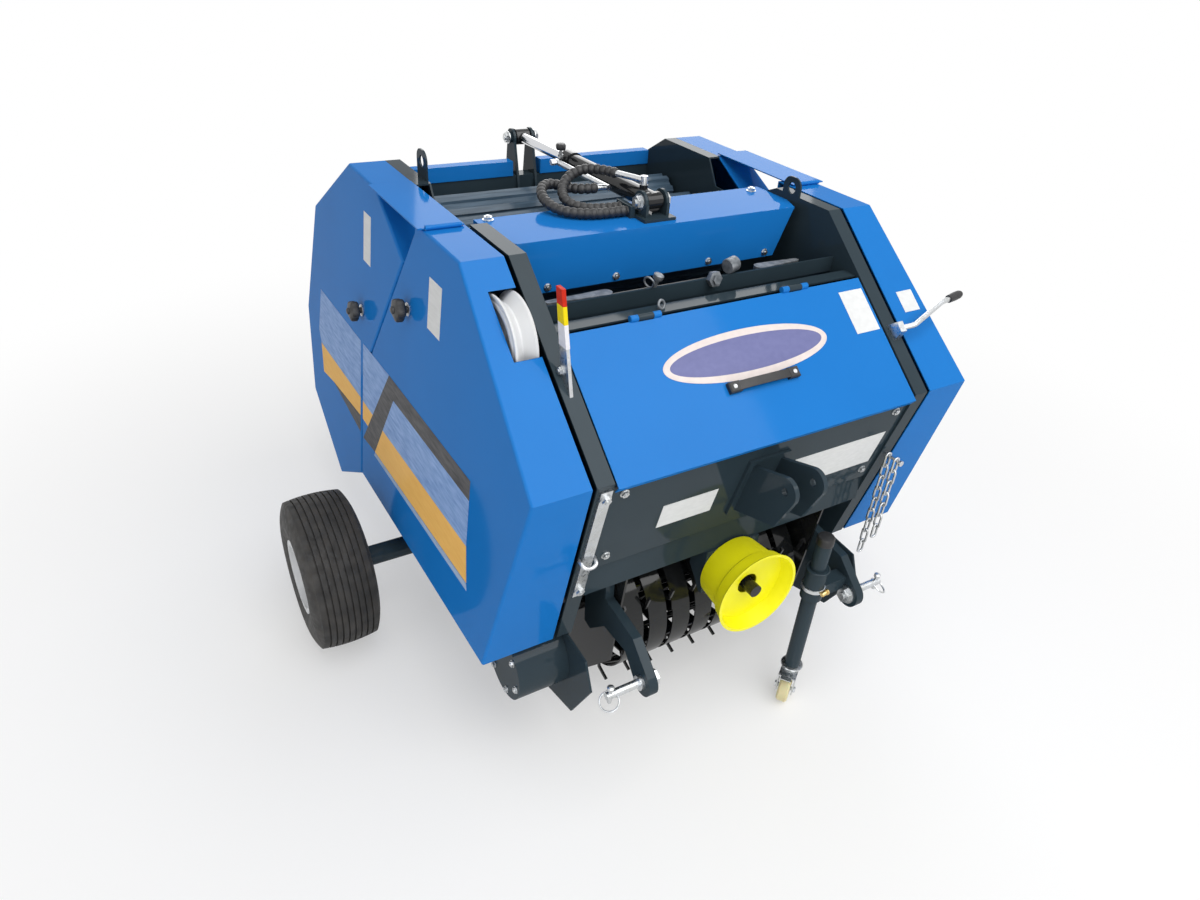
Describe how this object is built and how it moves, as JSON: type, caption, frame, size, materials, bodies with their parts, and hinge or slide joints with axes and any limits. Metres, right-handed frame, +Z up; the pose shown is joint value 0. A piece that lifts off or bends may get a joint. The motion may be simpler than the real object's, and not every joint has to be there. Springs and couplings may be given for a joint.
{
  "type": "small round baler",
  "caption": "Small tractor-mounted round baler: fluted roller chamber, lifting tailgate worked by a top cylinder, tined pick-up, twine box with lid, carrying wheels and castor jack.",
  "frame": {"origin": "on the ground under the middle of the machine's outer box", "axes": "+Z up, the hitch points to -Y, +X to the side of the parking jack"},
  "size_m": [1.943, 1.826, 1.362],
  "materials": {
    "blue_paint": "gloss",
    "slate_paint": "satin",
    "roller_paint": "satin",
    "guard_yellow": "satin",
    "zinc": "zinc plated",
    "black_paint": "gloss",
    "rod_chrome": "polished",
    "tyre_rubber": "matt",
    "rim_white": "gloss",
    "castor_cream": "satin",
    "hose_black": "spiral wrapped"
  },
  "bodies": {
    "frame": {"axle": "slate_paint", "check_chain": "zinc", "cross_beam": "blue_paint", "cross_tube": "slate_paint", "drive_drum": "slate_paint", "feed_pan": "slate_paint", "front_hood_left": "blue_paint", "front_hood_right": "blue_paint", "front_panel": "slate_paint", "front_plate_left": "slate_paint", "front_plate_right": "slate_paint", "front_rollers": "roller_paint", "gearbox": "slate_paint", "hanger_bar": "zinc", "hinge_bar": "slate_paint", "hitch_arm_left": "slate_paint", "hitch_arm_right": "slate_paint", "hitch_pins": "zinc", "indicator": "zinc", "jack_sleeve": "slate_paint", "lever": "zinc", "pickup_ends": "slate_paint", "pickup_shield_left": "slate_paint", "pickup_shield_right": "slate_paint", "pto_guard": "guard_yellow", "pulley_shaft": "zinc", "ram_bracket": "slate_paint", "stripper_bands": "slate_paint", "top_link_bracket": "slate_paint", "twine_arms": "zinc", "twine_box": "slate_paint", "tying_bar": "slate_paint"},
    "gate": {"gate_plate_left": "slate_paint", "gate_plate_right": "slate_paint", "gate_rollers": "roller_paint", "gate_bar": "blue_paint", "rod_bracket": "slate_paint", "rear_hood_left": "blue_paint", "rear_hood_right": "blue_paint"},
    "barrel": {"cylinder_barrel": "black_paint", "cylinder_fittings": "zinc", "hose_base": "hose_black", "hose_gland": "hose_black"},
    "rod": {"cylinder_rod": "rod_chrome"},
    "lid": {"front_lid": "blue_paint", "lid_handle": "black_paint"},
    "left_flap": {"flap_left": "blue_paint"},
    "right_flap": {"flap_right": "blue_paint"},
    "left_wheel": {"rim_left": "rim_white", "tyre_left": "tyre_rubber"},
    "right_wheel": {"rim_right": "rim_white", "tyre_right": "tyre_rubber"},
    "reel": {"pickup_reel": "slate_paint"},
    "input_shaft": {"pto_shaft": "black_paint"},
    "leg": {"jack_leg": "zinc"},
    "castor": {"castor_fork": "zinc"},
    "castor_roller": {"castor_wheel": "castor_cream"},
    "pulley": {"twine_pulley": "zinc"}
  },
  "joints": [
    {"name": "gate_hinge", "type": "hinge", "parent": "frame", "child": "gate", "pos_m": [0, -0.073, 1.165], "axis": [1, 0, 0], "range_deg": [0, 60]},
    {"name": "ram_tilt", "type": "hinge", "parent": "frame", "child": "barrel", "pos_m": [-0.01, -0.2, 1.309], "axis": [1, 0, 0], "range_deg": [0, 55.8]},
    {"name": "rod_slide", "type": "slide", "parent": "barrel", "child": "rod", "axis": [0, 0.9997, -0.0225], "range_m": [-0.186, 0]},
    {"name": "flap_left_hinge", "type": "hinge", "parent": "frame", "child": "left_flap", "pos_m": [-0.55, -0.163, 1.294], "axis": [1, 0, 0], "range_deg": [0, 66.1]},
    {"name": "flap_right_hinge", "type": "hinge", "parent": "frame", "child": "right_flap", "pos_m": [0.55, -0.163, 1.294], "axis": [1, 0, 0], "range_deg": [0, 66.1]},
    {"name": "lid_hinge", "type": "hinge", "parent": "frame", "child": "lid", "pos_m": [0, -0.519, 1.164], "axis": [-1, 0, 0], "range_deg": [0, 100]},
    {"name": "wheel_left_spin", "type": "hinge", "parent": "frame", "child": "left_wheel", "pos_m": [-0.87398, 0.043, 0.2285], "axis": [1, 0, 0], "continuous": true},
    {"name": "wheel_right_spin", "type": "hinge", "parent": "frame", "child": "right_wheel", "pos_m": [0.87398, 0.043, 0.2285], "axis": [1, 0, 0], "continuous": true},
    {"name": "reel_spin", "type": "hinge", "parent": "frame", "child": "reel", "pos_m": [0, -0.488, 0.305], "axis": [1, 0, 0], "continuous": true},
    {"name": "input_spin", "type": "hinge", "parent": "frame", "child": "input_shaft", "pos_m": [0, -0.77, 0.49], "axis": [0, 1, 0], "continuous": true},
    {"name": "jack_slide", "type": "slide", "parent": "frame", "child": "leg", "axis": [0, 0, 1], "range_m": [0, 0.25]},
    {"name": "castor_swivel", "type": "hinge", "parent": "leg", "child": "castor", "pos_m": [0.225, -0.808, 0.105], "axis": [0, 0, 1], "continuous": true},
    {"name": "castor_roll", "type": "hinge", "parent": "castor", "child": "castor_roller", "pos_m": [0.19387, -0.8298, 0.044], "axis": [-0.5736, 0.8192, 0], "continuous": true},
    {"name": "pulley_spin", "type": "hinge", "parent": "frame", "child": "pulley", "pos_m": [-0.525, -0.444, 1.13], "axis": [1, 0, 0], "continuous": true}
  ],
  "couplings": [
    {"joint": "ram_tilt", "follows": "gate_hinge", "ratio": 0.929},
    {"joint": "rod_slide", "follows": "gate_hinge", "m_per_rad": -0.17733},
    {"joint": "flap_left_hinge", "follows": "gate_hinge", "ratio": 1.1},
    {"joint": "flap_right_hinge", "follows": "gate_hinge", "ratio": 1.1}
  ]
}
